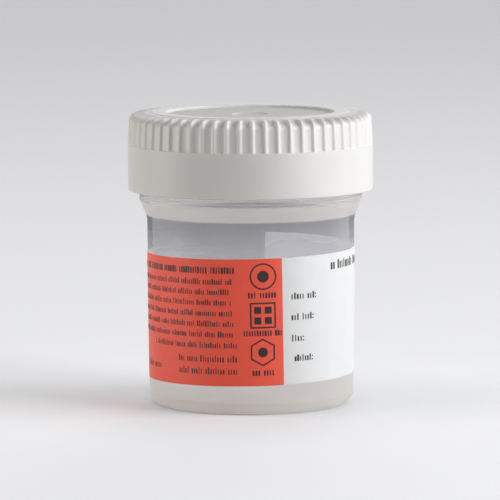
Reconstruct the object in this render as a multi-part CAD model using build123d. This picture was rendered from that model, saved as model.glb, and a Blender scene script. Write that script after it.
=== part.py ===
from build123d import *
import os
from math import atan, degrees, pi, radians

# Screw-top specimen container: a translucent jar, a ribbed screw cap, the sealing
# wad that the cap presses on the jar's rim, and the wrap-round label on the jar.
# Millimetres, +Z up. The origin is the centre of the foot ring, on the surface
# that the jar stands on, and +Z is the axis that every round piece shares.

# ---- Jar: wall and base ----
jar_height = 60.3            # from the standing surface to the rim
base_radius = 22.1           # outside of the wall, carried down to the base
wall_draft = 0.33            # how much the wall widens up to the shoulder
wall = 1.1
floor_thickness = 1.6
base_corner = 2.6            # outside rounding between wall and base
floor_corner = 1.8           # inside rounding between wall and floor
foot_width = 1.6
foot_height = 0.9            # how far the underside is raised inside the foot ring
gate_radius = 3.0            # shallow dish round the moulding gate, underneath
gate_depth = 0.4

# ---- Jar: shoulder, collar and neck ----
shoulder_drop = 19.8         # from the rim down to where the shoulder starts
shoulder_rise = 4.0          # height of the flare
shoulder_flare = 1.62        # how much the flare widens the jar
shoulder_blend = 5.0         # rounding where the wall turns into the flare
collar_blend = 1.0           # rounding where the flare turns into the collar
collar_height = 3.0
bead_drop = 2.2              # from the collar's top down to its witness line
bead_relief = 0.1            # step of the collar at that line
neck_step = 0.95             # how far the neck is set back from the collar
rim_width = 1.3              # width of the mouth's rim
rim_round = 0.35

# ---- Screw thread shared by jar and cap ----
thread_starts = 2
thread_pitch = 3.5           # from one ridge to the next
thread_turns = 0.9           # length of each ridge
thread_depth = 1.2           # how far a ridge stands off its wall
thread_root = 1.7            # width of a ridge at its wall
thread_crest = 0.9           # width of a ridge at its crest
thread_clearance = 0.4       # between a crest and the wall that it faces
thread_drop = 10.4           # from the rim down to where the jar's ridges start
thread_overlap_turns = 0.3   # how far back round the jar the cap's ridges start
thread_bite = 0.2            # how deep a ridge is rooted in its wall

# ---- Cap ----
cap_wall = 1.7
cap_depth = 14.87            # from the inside of the top down to the skirt's edge
plate = 1.4                  # thickness of the top under the recess
recess_depth = 0.6
recess_radius = 18.3
recess_draft = 0.3
dimple_radius = 4.0
dimple_depth = 0.3
crown_width = 3.0            # flat ring round the recess
crown_step = 0.12            # how far that ring stands above the ribbed edge
edge_fall = 0.13             # fall of the ribbed edge from the ring outwards
edge_round = 1.6             # rounding of the rib crests over the top edge
skirt_chamfer = 0.25
mouth_chamfer = 0.5          # lead-in inside the skirt's edge

# ---- Cap: grip ribs ----
rib_count = 60
rib_band = 7.0               # height of the ribbed band below the top
rib_taper = 0.35             # how much the band narrows up to the top
rib_depth = 0.38             # how far the panels lie behind the rib crests
rib_root = 1.0               # width of a rib at the panels
rib_crest = 0.5              # width of a rib at its crest
rib_tail = 0.7               # width of a rib at its inner end on the top edge
rib_turn = 0.9               # degrees by which the first rib is turned
bevel_drop = 1.4             # from the top down to where the panels lean in
bevel_margin = 1.6           # from the flat ring out to where the lean ends
rib_fade = 0.2               # from there out to the ribs' inner ends

# ---- Sealing wad ----
wad_thickness = 1.0
wad_clearance = 0.4          # between the wad and the cap's bore
keeper_reach = 0.8           # how far the cap's keeper bead stands off the bore
keeper_height = 1.0
keeper_gap = 0.3             # between the wad and the bead below it

# ---- Label ----
label_bottom = 6.41          # lower edge at the front of the jar
label_margin = 6.9           # from the label's top edge up to the shoulder
label_thickness = 0.1
label_glue = 0.02            # film of adhesive behind the paper
label_start = -107.0         # degrees from the front, positive to the right
label_sweep = 280.0
label_skew = 0.36            # rise of the label's edges for each radian round

# ---- Sizes that follow from the above ----
shoulder_z = jar_height - shoulder_drop
collar_z = shoulder_z + shoulder_rise
collar_top = collar_z + collar_height
body_radius = base_radius + wall_draft
collar_radius = body_radius + shoulder_flare
bead_radius = collar_radius + bead_relief
neck_radius = bead_radius - neck_step
mouth_radius = neck_radius - rim_width
floor_z = foot_height + floor_thickness

thread_lead = thread_starts * thread_pitch
jar_crest_radius = neck_radius + thread_depth
bore_radius = jar_crest_radius + thread_clearance
cap_crest_radius = neck_radius + thread_clearance
cap_radius = bore_radius + cap_wall

seat_z = jar_height + wad_thickness
skirt_z = seat_z - cap_depth
recess_z = seat_z + plate
top_z = recess_z + recess_depth
crown_radius = recess_radius + crown_width
wad_radius = bore_radius - wad_clearance

# A cap ridge runs midway between two jar ridges, on the same helix.
jar_thread_z = jar_height - thread_drop
cap_thread_z = jar_thread_z + thread_pitch / 2 - thread_lead * thread_overlap_turns
front = -90.0                # the front of the jar faces -Y


def turned(corners):
    """Revolve a closed outline of (radius, height, corner rounding) about the Z axis."""
    path = FilletPolyline(
        [(r, z) for r, z, _ in corners],
        radius=[rounding for _, _, rounding in corners],
        close=True,
    )
    return revolve(Plane.XZ * make_face(path), Axis.Z)


def wall_radius(z):
    """Outside radius of the jar's drafted wall at a height below the shoulder."""
    return base_radius + wall_draft * z / shoulder_z


def helical_strip(section, lead, turns, start_angle, lean=0):
    """A section of (radius, height) points carried up a right-hand helix about +Z."""
    edges = [
        Helix(lead, lead * turns, radius, center=(0, 0, z), cone_angle=lean).edge()
        for radius, z in section
    ]
    pairs = zip(edges, edges[1:] + edges[:1])
    sides = [Face.make_surface_from_curves(one, other) for one, other in pairs]
    ends = [
        make_face(Polyline([edge @ place for edge in edges], close=True)).face()
        for place in (0, 1)
    ]
    return Rot(0, 0, start_angle) * Solid(Shell(sides + ends))


def thread_ridges(root_radius, crest_radius, start_z, start_turn):
    """One ridge for each start of the thread, spaced evenly round the axis."""
    section = [
        (root_radius, start_z - thread_root / 2),
        (crest_radius, start_z - thread_crest / 2),
        (crest_radius, start_z + thread_crest / 2),
        (root_radius, start_z + thread_root / 2),
    ]
    ridges = []
    for start in range(thread_starts):
        angle = 360 * (start_turn + start / thread_starts)
        ridges.append(helical_strip(section, thread_lead, thread_turns, angle))
    return ridges


def make_jar():
    """Moulded jar: one wall from the foot ring to the rim, with its outside thread."""
    foot_inner = base_radius - base_corner - foot_width
    bead_z = collar_top - bead_drop
    shell = turned([
        (0, foot_height + gate_depth, 0),
        (gate_radius, foot_height + gate_depth, 0),
        (gate_radius + gate_depth, foot_height, 0),
        (foot_inner - foot_height / 2, foot_height, 0),
        (foot_inner, 0, 0),
        (wall_radius(0), 0, base_corner),
        (body_radius, shoulder_z, shoulder_blend),
        (collar_radius, collar_z, collar_blend),
        (collar_radius, bead_z, 0),
        (bead_radius, bead_z, 0),
        (bead_radius, collar_top, bead_relief),
        (neck_radius, collar_top, 0),
        (neck_radius, jar_height, rim_round),
        (mouth_radius, jar_height, rim_round),
        (mouth_radius, collar_z, 0),
        (body_radius - wall, shoulder_z, shoulder_blend),
        (wall_radius(floor_z) - wall, floor_z, floor_corner),
        (0, floor_z, 0),
    ])
    root_radius = neck_radius - thread_bite
    ridges = thread_ridges(root_radius, jar_crest_radius, jar_thread_z, 0)
    return shell.fuse(*ridges)


def crest_blank():
    """The ribbed band as the rib crests have it."""
    return turned([
        (0, top_z - rib_band, 0),
        (cap_radius, top_z - rib_band, 0),
        (cap_radius - rib_taper, top_z - crown_step - edge_fall, edge_round),
        (crown_radius, top_z - crown_step, 0),
        (0, top_z - crown_step, 0),
    ])


def panel_blank():
    """The plain skirt, the panels between the ribs, and the recessed top."""
    band_z = top_z - rib_band
    bevel_z = top_z - bevel_drop
    edge_z = top_z - crown_step - edge_fall
    bevel_taper = rib_taper * (bevel_z - band_z) / (edge_z - band_z)
    edge_width = cap_radius - rib_taper - crown_radius
    bevel_fall = edge_fall * bevel_margin / edge_width
    return turned([
        (0, skirt_z, 0),
        (cap_radius - skirt_chamfer, skirt_z, 0),
        (cap_radius, skirt_z + skirt_chamfer, 0),
        (cap_radius, band_z, 0),
        (cap_radius - rib_depth, band_z, 0),
        (cap_radius - rib_depth - bevel_taper, bevel_z, 0),
        (crown_radius + bevel_margin, top_z - crown_step - bevel_fall, 0),
        (crown_radius, top_z - crown_step, 0),
        (crown_radius, top_z, 0),
        (recess_radius, top_z, 0),
        (recess_radius - recess_draft, recess_z, 0),
        (dimple_radius, recess_z, 0),
        (dimple_radius - dimple_depth, recess_z - dimple_depth, 0),
        (0, recess_z - dimple_depth, 0),
    ])


def grip_ribs():
    """Upright ribs all round the cap, trimmed to the crests and carried over its edge."""
    inner = crown_radius + bevel_margin + rib_fade
    panel_radius = cap_radius - rib_depth
    half = [
        (inner, rib_tail / 2),
        (panel_radius, rib_root / 2),
        (cap_radius, rib_crest / 2),
        (cap_radius + rib_depth, rib_crest / 2),
    ]
    other_half = [(x, -y) for x, y in reversed(half)]
    bar = make_face(Polyline(half + other_half, close=True))
    rib = crest_blank() & extrude(Pos(0, 0, top_z - rib_band) * bar, rib_band)
    pitch = 360 / rib_count
    return [Rot(0, 0, front + rib_turn + pitch * i) * rib for i in range(rib_count)]


def cap_hollow():
    """Inside of the cap: bore, lead-in and the bead that keeps the wad in place."""
    keeper_top = jar_height - keeper_gap
    return turned([
        (0, seat_z, 0),
        (bore_radius, seat_z, 0),
        (bore_radius, keeper_top, 0),
        (bore_radius - keeper_reach, keeper_top - keeper_height / 2, 0),
        (bore_radius, keeper_top - keeper_height, 0),
        (bore_radius, skirt_z + mouth_chamfer, 0),
        (bore_radius + mouth_chamfer, skirt_z, 0),
        (bore_radius + mouth_chamfer, skirt_z - wall, 0),
        (0, skirt_z - wall, 0),
    ])


def make_cap():
    """Moulded screw cap with its grip ribs outside and its thread inside."""
    shell = panel_blank().fuse(*grip_ribs()) - cap_hollow()
    root_radius = bore_radius + thread_bite
    ridges = thread_ridges(root_radius, cap_crest_radius, cap_thread_z, -thread_overlap_turns)
    return shell.fuse(*ridges)


def make_wad():
    """Flat sealing disc between the cap's top and the jar's rim."""
    return Pos(0, 0, jar_height + wad_thickness / 2) * Cylinder(wad_radius, wad_thickness)


def make_label():
    """Paper label wrapped round the drafted wall, its edges rising slightly to the right."""
    start_rise = label_skew * radians(label_start)
    low = label_bottom + start_rise
    high = shoulder_z - label_margin + start_rise
    back = label_glue
    face = label_glue + label_thickness
    section = [
        (wall_radius(low) + back, low),
        (wall_radius(low) + face, low),
        (wall_radius(high) + face, high),
        (wall_radius(high) + back, high),
    ]
    lean = degrees(atan(wall_draft / shoulder_z))
    lead = 2 * pi * label_skew
    return helical_strip(section, lead, label_sweep / 360, front + label_start, lean)


os.makedirs("parts", exist_ok=True)
export_step(make_jar(), "parts/jar.step")
export_step(make_cap(), "parts/screw_cap.step")
export_step(make_wad(), "parts/sealing_wad.step")
export_step(make_label(), "parts/label.step")
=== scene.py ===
import logging
import math
from collections.abc import Iterable
from dataclasses import dataclass, field
from enum import Enum, IntEnum
from typing import Protocol

import bpy
import numpy as np
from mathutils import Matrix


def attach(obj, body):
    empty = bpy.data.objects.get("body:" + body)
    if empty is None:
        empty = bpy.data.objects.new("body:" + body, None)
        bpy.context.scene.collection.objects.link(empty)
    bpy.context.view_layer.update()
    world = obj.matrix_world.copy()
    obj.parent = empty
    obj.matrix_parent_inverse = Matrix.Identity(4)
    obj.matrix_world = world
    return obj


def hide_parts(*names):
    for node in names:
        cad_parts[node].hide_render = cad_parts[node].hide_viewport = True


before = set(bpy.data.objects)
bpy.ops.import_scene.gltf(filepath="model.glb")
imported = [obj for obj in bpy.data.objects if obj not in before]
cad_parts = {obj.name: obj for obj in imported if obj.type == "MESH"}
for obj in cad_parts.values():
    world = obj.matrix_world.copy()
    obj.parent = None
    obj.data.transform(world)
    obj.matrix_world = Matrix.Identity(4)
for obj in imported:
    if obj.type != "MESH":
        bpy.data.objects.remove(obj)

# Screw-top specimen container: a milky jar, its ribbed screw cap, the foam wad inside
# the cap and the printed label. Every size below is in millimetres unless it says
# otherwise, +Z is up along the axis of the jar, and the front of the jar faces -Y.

log = logging.getLogger("specimen_container")

Tree = bpy.types.NodeTree
Socket = bpy.types.NodeSocket
Point = tuple[float, float, float]
Face = tuple[int, ...]

MM = 0.001  # metres
TOUCH = 0.01  # mm within which two radii count as the same
STRAIGHT = 1e-3  # radians of turn under which a corner counts as straight
FEWEST_STEPS = 3  # along an arc
FRONT = math.radians(-90.0)
TRUE_COLOUR_VIEW = "Standard"
TWO_COLOURS = {"data_type": "RGBA"}  # Mix node: sockets 0, 6 and 7 in, and 2 out


class Body(Enum):
    """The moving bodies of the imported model."""

    CONTAINER = "container"
    WAD = "wad"
    CAP = "cap"


class Slot(Enum):
    """Names of the material slots."""

    JAR = "jar_plastic"
    CAP = "cap_plastic"
    WAD = "wad_foam"
    LABEL = "label_paper"


# ---------------------------------------------------------------- shared helpers


def linear(hex_colour: str) -> tuple[float, float, float, float]:
    """Turn an sRGB hex colour into linear red, green, blue and alpha.

    Args:
        hex_colour: six hex digits, such as "f2f1ee".

    Returns:
        The colour as Blender's sockets take it.
    """
    parts = [int(hex_colour[i : i + 2], 16) / 255 for i in (0, 2, 4)]
    low = [c / 12.92 if c <= 0.04045 else ((c + 0.055) / 1.055) ** 2.4 for c in parts]
    return (low[0], low[1], low[2], 1.0)


def add_node(
    tree: Tree, kind: str, settings: dict | None = None, inputs: dict | None = None
) -> bpy.types.Node:
    """Add a node with its settings, its constant inputs and its links.

    Args:
        tree: the node tree.
        kind: the node's type name.
        settings: attributes of the node.
        inputs: socket name or number to a constant, or to the socket that feeds it.

    Returns:
        The node.
    """
    node = tree.nodes.new(kind)
    for name, value in (settings or {}).items():
        setattr(node, name, value)
    for key, value in (inputs or {}).items():
        if isinstance(value, bpy.types.NodeSocket):
            tree.links.new(value, node.inputs[key])
        else:
            node.inputs[key].default_value = value
    return node


def per_mm(size: float) -> float:
    """Pattern scale, in repeats per metre, for a feature of this size in mm."""
    return 1.0 / (size * MM)


def geometry_tree(
    name: str, sockets: dict[str, str]
) -> tuple[Tree, bpy.types.Node, bpy.types.Node]:
    """Start a Geometry Nodes tree with named inputs.

    Args:
        name: the tree's name.
        sockets: name of each extra input to its socket type.

    Returns:
        The tree, its input node and its output node.
    """
    tree = bpy.data.node_groups.new(name, "GeometryNodeTree")
    tree.interface.new_socket("Geometry", in_out="INPUT", socket_type="NodeSocketGeometry")
    for label, kind in sockets.items():
        tree.interface.new_socket(label, in_out="INPUT", socket_type=kind)
    tree.interface.new_socket("Geometry", in_out="OUTPUT", socket_type="NodeSocketGeometry")
    return tree, tree.nodes.new("NodeGroupInput"), tree.nodes.new("NodeGroupOutput")


def close_tree(tree: Tree, end: bpy.types.Node, geometry: Socket, finish: Socket) -> None:
    """Give the result of a Geometry Nodes tree its finish and send it out.

    Args:
        tree: the tree.
        end: its output node.
        geometry: the result.
        finish: the material.
    """
    dressed = add_node(tree, "GeometryNodeSetMaterial", inputs={
        "Geometry": geometry, "Material": finish,
    })
    tree.links.new(dressed.outputs["Geometry"], end.inputs["Geometry"])


def run_tree(source: bpy.types.Object, tree: Tree, values: dict[str, object]) -> bpy.types.Mesh:
    """Run a Geometry Nodes tree on an object and take its result as a plain mesh.

    Args:
        source: the object that the tree works on. It is removed afterwards.
        tree: the tree.
        values: name of each input to its value.

    Returns:
        The resulting mesh.
    """
    modifier = source.modifiers.new("build", "NODES")
    modifier.node_group = tree
    names = {s.name: s.identifier for s in tree.interface.items_tree if s.in_out == "INPUT"}
    for name, value in values.items():
        modifier[names[name]] = value
    evaluated = source.evaluated_get(bpy.context.evaluated_depsgraph_get())
    mesh = bpy.data.meshes.new_from_object(evaluated)
    source.modifiers.remove(modifier)
    old = source.data
    bpy.data.objects.remove(source)
    bpy.data.meshes.remove(old)
    return mesh


def rounded(
    corners: list[Point], margin: float = 0.12, longest: float = 0.3, widest: float = 7.0
) -> np.ndarray:
    """Follow corners of (radius, height, rounding), each rounding as a fine arc.

    A straight run gets a row a little way in from each end, so that smooth shading
    stays on the arcs and the run between them looks flat.

    Args:
        corners: the outline's corners in order.
        margin: how far in those rows are.
        longest: longest step along an arc.
        widest: widest step round an arc, in degrees.

    Returns:
        An array of (radius, height) rows.
    """
    points = np.array([c[:2] for c in corners], dtype=float)
    rows = [points[0]]
    for i in range(1, len(corners) - 1):
        here, reach = points[i], corners[i][2]
        back, ahead = points[i - 1] - here, points[i + 1] - here
        back, ahead = back / np.linalg.norm(back), ahead / np.linalg.norm(ahead)
        turn = math.pi - math.acos(float(np.clip(back @ ahead, -1, 1)))
        if reach <= 0 or turn < STRAIGHT:
            rows.append(here)
            continue
        tangent = reach * math.tan(turn / 2)
        middle = (back + ahead) / np.linalg.norm(back + ahead)
        centre = here + middle * reach / math.cos(turn / 2)
        first, last = here + back * tangent - centre, here + ahead * tangent - centre
        steps = max(FEWEST_STEPS, int(math.degrees(turn) / widest), int(reach * turn / longest))
        for k in range(steps + 1):
            part = k / steps
            arm = first * math.sin((1 - part) * turn) + last * math.sin(part * turn)
            rows.append(centre + arm / math.sin(turn))
    rows.append(points[-1])
    return supported(np.array(rows), margin)


def supported(rows: np.ndarray, margin: float) -> np.ndarray:
    """Add a row a little way in from each end of every long straight run.

    Args:
        rows: (radius, height) rows.
        margin: how far in the new rows are.

    Returns:
        The rows with the new ones among them.
    """
    result = [rows[0]]
    for start, end in zip(rows, rows[1:]):
        length = float(np.linalg.norm(end - start))
        if length > 4 * margin:
            step = (end - start) * margin / length
            result += [start + step, end - step]
        result.append(end)
    return np.array(result)


def between(rows: np.ndarray, low: float, high: float, step: float) -> np.ndarray:
    """Divide the straight upright run that covers a band of heights into fine rows.

    Args:
        rows: (radius, height) rows.
        low: bottom of the band.
        high: top of the band.
        step: height of a fine row.

    Returns:
        The rows with the fine ones among them.
    """
    result = [rows[0]]
    for start, end in zip(rows, rows[1:]):
        bottom, top = sorted((start[1], end[1]))
        if bottom < low and top > high:
            count = int(round((high - low) / step))
            heights = np.linspace(low, high, count + 1)
            if start[1] > end[1]:
                heights = heights[::-1]
            parts = (heights - start[1]) / (end[1] - start[1])
            result += [start + (end - start) * p for p in parts]
        result.append(end)
    return np.array(result)


def lengths(rows: np.ndarray) -> np.ndarray:
    """Length along a line of rows, up to each row."""
    return np.concatenate([[0], np.cumsum(np.linalg.norm(np.diff(rows, axis=0), axis=1))])


def resampled(rows: np.ndarray, count: int, keep: float) -> np.ndarray:
    """Divide the runs of a line that are longer than a step, keeping its own rows.

    Args:
        rows: (radius, height) rows.
        count: how many steps the whole line would have.
        keep: shortest step in mm.

    Returns:
        The rows with the new ones among them.
    """
    step = max(lengths(rows)[-1] / count, keep)
    result = [rows[0]]
    for start, end in zip(rows, rows[1:]):
        parts = max(1, int(np.linalg.norm(end - start) / step))
        result += [start + (end - start) * (k + 1) / parts for k in range(parts)]
    return np.array(result)


def spun(rows: np.ndarray, columns: int) -> tuple[np.ndarray, np.ndarray, np.ndarray]:
    """Repeat rows in evenly spaced columns round the axis.

    Args:
        rows: (radius, height) rows.
        columns: how many columns.

    Returns:
        Radius and height of each row and column, and the angle of each column.
    """
    angles = np.arange(columns) * 2 * math.pi / columns
    radius = np.repeat(rows[:, :1], columns, axis=1)
    return radius, np.repeat(rows[:, 1:], columns, axis=1), angles


def turned_surface(
    radius: np.ndarray, height: np.ndarray, angles: np.ndarray
) -> tuple[list[Point], list[Face]]:
    """Close a grid of rows round the axis, with a single vertex where a row is on it.

    Args:
        radius: radius of each row and column.
        height: height of each row and column.
        angles: angle of each column, in radians.

    Returns:
        Vertices and faces, facing outwards where the rows climb the outside.
    """
    rows, columns = radius.shape
    points, index = [], np.zeros((rows, columns), dtype=int)
    for i in range(rows):
        if radius[i].max() < TOUCH:
            index[i] = len(points)
            points.append((0.0, 0.0, float(height[i, 0])))
            continue
        index[i] = np.arange(columns) + len(points)
        xs, ys = radius[i] * np.cos(angles), radius[i] * np.sin(angles)
        points += list(zip(xs.tolist(), ys.tolist(), height[i].tolist()))
    faces = []
    for low, high in zip(index, index[1:]):
        for j in range(columns):
            k = (j + 1) % columns
            ring = (low[j], low[k], high[k], high[j])
            faces.append(tuple(int(v) for n, v in enumerate(ring) if v not in ring[:n]))
    return points, faces


@dataclass
class Thread:
    """The screw thread that jar and cap share."""

    starts: int = 2
    pitch: float = 3.5
    turns: float = 0.9
    depth: float = 1.2
    root: float = 1.7
    crest: float = 0.9
    run_out: float = 0.02  # turns over which an end sinks into its wall
    clear: float = 0.3  # fine rows go on this far above it

    @property
    def lead(self) -> float:
        """Rise in one turn."""
        return self.starts * self.pitch

    def band(self, start_z: float, row: float) -> tuple[float, float]:
        """Bottom and top of the heights that need fine rows."""
        low = start_z - self.root / 2 - row
        return low, low + self.lead * self.turns + self.root + self.clear

    def rise(
        self, angles: np.ndarray, heights: np.ndarray, start_z: float, start_turn: float
    ) -> np.ndarray:
        """How far the ridges stand off their wall.

        Args:
            angles: angles in radians.
            heights: heights of the same shape.
            start_z: height of a ridge's middle where it starts.
            start_turn: where the first ridge starts, in turns from +X.

        Returns:
            The height of the ridges over the wall, of the same shape.
        """
        stand = np.zeros(np.broadcast(angles, heights).shape)
        for start in range(self.starts):
            first = start_turn + start / self.starts
            along = (angles / (2 * math.pi) - first) % 1.0
            off = np.abs(heights - start_z - self.lead * along)
            side = np.clip((self.root / 2 - off) / ((self.root - self.crest) / 2), 0, 1)
            side = side * side * (3 - 2 * side)
            ends = np.minimum(along, self.turns - along) / self.run_out
            stand = np.maximum(stand, side * np.clip(ends, 0, 1))
        return stand * self.depth


class Draft:
    """Vertices and faces of one piece, gathered in millimetres."""

    def __init__(self) -> None:
        """Start empty."""
        self.points: list[Point] = []
        self.faces: list[Face] = []
        self.slots: list[int] = []

    def add(self, points: Iterable[Point], faces: Iterable[Face]) -> None:
        """Add a part, in the first material slot.

        Args:
            points: its vertices.
            faces: its faces, as numbers of its own vertices.
        """
        base = len(self.points)
        self.points += [tuple(p) for p in points]
        self.faces += [tuple(v + base for v in f) for f in faces]
        self.slots += [0] * (len(self.faces) - len(self.slots))

    def build(self, name: str) -> bpy.types.Object:
        """Make the object, in metres and at the origin.

        Args:
            name: the object's name.

        Returns:
            The object.
        """
        mesh = bpy.data.meshes.new(name)
        mesh.from_pydata((np.array(self.points) * MM).tolist(), [], self.faces)
        mesh.polygons.foreach_set("material_index", self.slots)
        return place(mesh, name)


def place(mesh: bpy.types.Mesh, name: str) -> bpy.types.Object:
    """Link an object that holds a mesh, at the origin.

    Args:
        mesh: the mesh.
        name: the object's name.

    Returns:
        The object.
    """
    mesh.update()
    obj = bpy.data.objects.new(name, mesh)
    bpy.context.scene.collection.objects.link(obj)
    return obj


def smooth(obj: bpy.types.Object, angle: float = 38.0) -> None:
    """Shade smooth, but keep edges sharper than this many degrees."""
    obj.data.shade_smooth()
    obj.data.set_sharp_from_angle(angle=math.radians(angle))


def assign(obj: bpy.types.Object, *finishes: "Finish") -> None:
    """Give an object its finishes, one material slot each."""
    for finish in finishes:
        obj.data.materials.append(finish.material())


def fit(obj: bpy.types.Object, body: Body, slot: Slot, *nodes: str) -> None:
    """Ride a piece on its body and hide the CAD nodes it stands for.

    Args:
        obj: the piece.
        body: the body it moves with.
        slot: its material slot; not used.
        *nodes: the CAD nodes that it replaces.
    """
    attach(obj, body.value)
    if nodes:
        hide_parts(*nodes)
    log.info("%s: %d vertices, on %s", obj.name, len(obj.data.vertices), body.value)


# ---------------------------------------------------------------- finishes


class Finish(Protocol):
    """Anything that can build its own material."""

    def material(self) -> bpy.types.Material:
        """Build the material."""


def shader_tree(name: str) -> tuple[bpy.types.Material, Tree, Socket]:
    """Start a material's node tree.

    Args:
        name: the material's name.

    Returns:
        The material, its empty tree, and its object coordinates.
    """
    material = bpy.data.materials.new(name)
    material.use_nodes = True
    tree = material.node_tree
    tree.nodes.clear()
    return material, tree, add_node(tree, "ShaderNodeTexCoord").outputs["Object"]


@dataclass(frozen=True)
class Grain:
    """An uneven pattern of one real grain size, such as flow clouds or paper fibres."""

    size: float  # mm
    detail: float = 3.0
    roughness: float = 0.55
    usual: tuple[float, float] = (0.25, 0.75)  # where nearly all of the noise lies

    def sockets(self, where: Socket) -> dict[str, object]:
        """Give the inputs of the noise that draws the pattern.

        Args:
            where: object coordinates.

        Returns:
            Socket name to its value.
        """
        grain = {"Scale": per_mm(self.size), "Detail": self.detail}
        return {"Vector": where, "Roughness": self.roughness, **grain}

    def spread(self, tree: Tree, where: Socket, low: float, high: float) -> Socket:
        """Let a value wander between two ends, which it meets softly.

        Args:
            tree: the node tree.
            where: object coordinates.
            low: one end.
            high: the other end.

        Returns:
            The value.
        """
        noise = add_node(tree, "ShaderNodeTexNoise", inputs=self.sockets(where))
        return add_node(tree, "ShaderNodeMapRange", {"interpolation_type": "SMOOTHSTEP"}, {
            "Value": noise.outputs["Fac"], "From Min": self.usual[0], "From Max": self.usual[1],
            "To Min": low, "To Max": high,
        }).outputs["Result"]

    def relief(self, tree: Tree, where: Socket, depth: float) -> Socket:
        """Raise the surface by the pattern.

        Args:
            tree: the node tree.
            where: object coordinates.
            depth: real depth in mm.

        Returns:
            The normal.
        """
        noise = add_node(tree, "ShaderNodeTexNoise", inputs=self.sockets(where))
        return add_node(tree, "ShaderNodeBump", inputs={
            "Height": noise.outputs["Fac"], "Distance": depth * MM, "Strength": 1.0,
        }).outputs["Normal"]


@dataclass(frozen=True)
class MilkyPolypropylene:
    """Natural polypropylene, injection moulded and not coloured.

    Its crystals scatter light, so a 1 mm wall looks like thin milk: what is behind
    shows through faded, thick places turn whiter, and the surface has a soft gloss.
    The jar's scatter share also carries painted highlight, shade and shadow bands.
    """

    name: str = "natural_polypropylene_moulded"
    thin: str = "e6e6ea"
    thick: str = "fbf9f5"
    clear: str = "fafbfd"
    shares: tuple[float, float] = (0.13, 0.5)  # scatter at which it is thin and thick
    cloud: Grain = Grain(9.0, 0.0)
    cloud_milk: float = 0.03
    gloss: tuple[float, float] = (0.28, 0.36)
    ior: float = 1.49
    translucency: float = 0.68
    edge_milk: float = 0.14  # more scatter where a wall is seen edge-on
    edge_blend: float = 0.35

    def material(self) -> bpy.types.Material:
        """Build the material.

        Returns:
            The material.
        """
        material, tree, where = shader_tree(self.name)
        # the scatter share, which also carries the jar's painted light and shade bands
        share = add_node(
            tree, "ShaderNodeAttribute", {"attribute_name": JarMoulding.SCATTER_AND_PAINTED_LIGHT}
        ).outputs["Fac"]
        whiteness = add_node(tree, "ShaderNodeMapRange", inputs={
            "Value": share, "From Min": self.shares[0], "From Max": self.shares[1],
        }).outputs["Result"]
        colour = add_node(tree, "ShaderNodeMix", TWO_COLOURS, {
            0: whiteness, 6: linear(self.thin), 7: linear(self.thick),
        }).outputs[2]
        shell = add_node(tree, "ShaderNodeBsdfPrincipled", inputs={
            "Base Color": colour,
            "Roughness": self.cloud.spread(tree, where, *self.gloss),
            "IOR": self.ior,
        }).outputs["BSDF"]
        milk = add_node(tree, "ShaderNodeBsdfTranslucent", inputs={"Color": colour})
        body = add_node(tree, "ShaderNodeMixShader", inputs={
            "Fac": self.translucency, 1: shell, 2: milk.outputs["BSDF"],
        }).outputs["Shader"]
        clear = add_node(tree, "ShaderNodeBsdfTransparent", inputs={
            "Color": linear(self.clear),
        }).outputs["BSDF"]
        facing = add_node(tree, "ShaderNodeLayerWeight", inputs={"Blend": self.edge_blend})
        depth = add_node(tree, "ShaderNodeMath", {"operation": "MULTIPLY_ADD"}, {
            0: facing.outputs["Facing"], 1: self.edge_milk, 2: share,
        }).outputs["Value"]
        dense = add_node(tree, "ShaderNodeMath", {"operation": "ADD", "use_clamp": True}, {
            0: depth, 1: self.cloud.spread(tree, where, -self.cloud_milk, self.cloud_milk),
        }).outputs["Value"]
        wall = add_node(tree, "ShaderNodeMixShader", inputs={"Fac": dense, 1: clear, 2: body})
        add_node(tree, "ShaderNodeOutputMaterial", inputs={"Surface": wall.outputs["Shader"]})
        return material


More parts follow.
